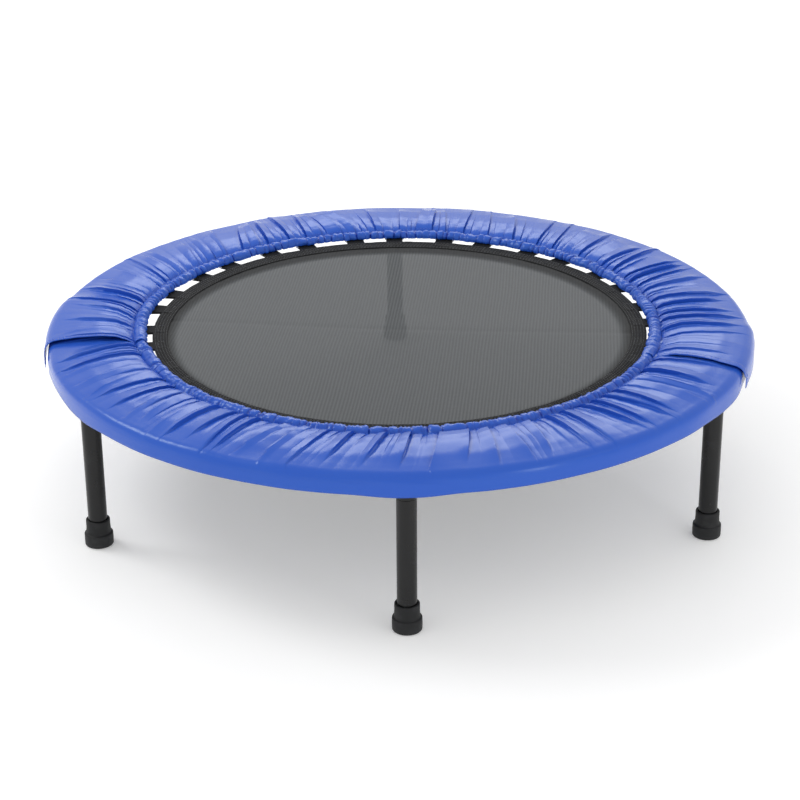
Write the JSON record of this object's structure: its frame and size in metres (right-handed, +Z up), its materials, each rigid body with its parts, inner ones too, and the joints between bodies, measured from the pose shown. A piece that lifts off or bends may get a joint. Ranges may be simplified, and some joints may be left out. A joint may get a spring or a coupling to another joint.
{
  "type": "mini trampoline",
  "caption": "Round fold-in-half mini trampoline: hinged steel ring on screw-in legs with rubber feet, sprung woven mat and padded blue vinyl edge cover.",
  "frame": {"origin": "on the floor under the middle of the ring", "axes": "+Z up; the X axis is the fold line through both hinges; +Y towards the rear half, which folds up and over"},
  "size_m": [0.9664, 0.96, 0.2252],
  "materials": {
    "frame": "semi-gloss black powder coat",
    "leg": "semi-gloss black powder coat",
    "pin": "zinc plated rivet",
    "spring": "zinc plated spring wire",
    "foot": "moulded rubber, matt",
    "mat": "open woven polypropylene mesh with webbing hem and tabs",
    "cover": "glossy blue vinyl-coated fabric, gathered",
    "foam": "expanded polyethylene foam"
  },
  "bodies": {
    "front_half": {"frame_front": "frame", "hinge_fork_right": "frame", "hinge_fork_left": "frame", "hinge_pin_right": "pin", "hinge_pin_left": "pin", "mat_front": "mat", "cover_front": "cover", "foam_front": "foam", "flap_right": "cover", "flap_left": "cover", "spring_17": "spring", "spring_18": "spring", "spring_19": "spring", "spring_20": "spring", "spring_21": "spring", "spring_22": "spring", "spring_23": "spring", "spring_24": "spring", "spring_25": "spring", "spring_26": "spring", "spring_27": "spring", "spring_28": "spring", "spring_29": "spring", "spring_30": "spring", "spring_31": "spring", "spring_32": "spring"},
    "rear_half": {"frame_rear": "frame", "hinge_tongue_right": "frame", "hinge_tongue_left": "frame", "mat_rear": "mat", "cover_rear": "cover", "foam_rear": "foam", "spring_01": "spring", "spring_02": "spring", "spring_03": "spring", "spring_04": "spring", "spring_05": "spring", "spring_06": "spring", "spring_07": "spring", "spring_08": "spring", "spring_09": "spring", "spring_10": "spring", "spring_11": "spring", "spring_12": "spring", "spring_13": "spring", "spring_14": "spring", "spring_15": "spring", "spring_16": "spring"},
    "screw_leg_1": {"leg_1": "leg", "foot_1": "foot"},
    "screw_leg_2": {"leg_2": "leg", "foot_2": "foot"},
    "screw_leg_3": {"leg_3": "leg", "foot_3": "foot"},
    "screw_leg_4": {"leg_4": "leg", "foot_4": "foot"},
    "screw_leg_5": {"leg_5": "leg", "foot_5": "foot"},
    "screw_leg_6": {"leg_6": "leg", "foot_6": "foot"}
  },
  "joints": [
    {"name": "fold", "type": "hinge", "parent": "front_half", "child": "rear_half", "pos_m": [0, 0, 0.2125], "axis": [1, 0, 0], "range_deg": [0, 165], "deforming": ["cover_front", "cover_rear", "foam_front", "foam_rear", "flap_right", "flap_left"]},
    {"name": "leg_1_unscrew", "type": "slide", "parent": "rear_half", "child": "screw_leg_1", "axis": [0, 0, -1], "range_m": [0, 0.022]},
    {"name": "leg_2_unscrew", "type": "slide", "parent": "rear_half", "child": "screw_leg_2", "axis": [0, 0, -1], "range_m": [0, 0.022]},
    {"name": "leg_3_unscrew", "type": "slide", "parent": "rear_half", "child": "screw_leg_3", "axis": [0, 0, -1], "range_m": [0, 0.022]},
    {"name": "leg_4_unscrew", "type": "slide", "parent": "front_half", "child": "screw_leg_4", "axis": [0, 0, -1], "range_m": [0, 0.022]},
    {"name": "leg_5_unscrew", "type": "slide", "parent": "front_half", "child": "screw_leg_5", "axis": [0, 0, -1], "range_m": [0, 0.022]},
    {"name": "leg_6_unscrew", "type": "slide", "parent": "front_half", "child": "screw_leg_6", "axis": [0, 0, -1], "range_m": [0, 0.022]}
  ]
}
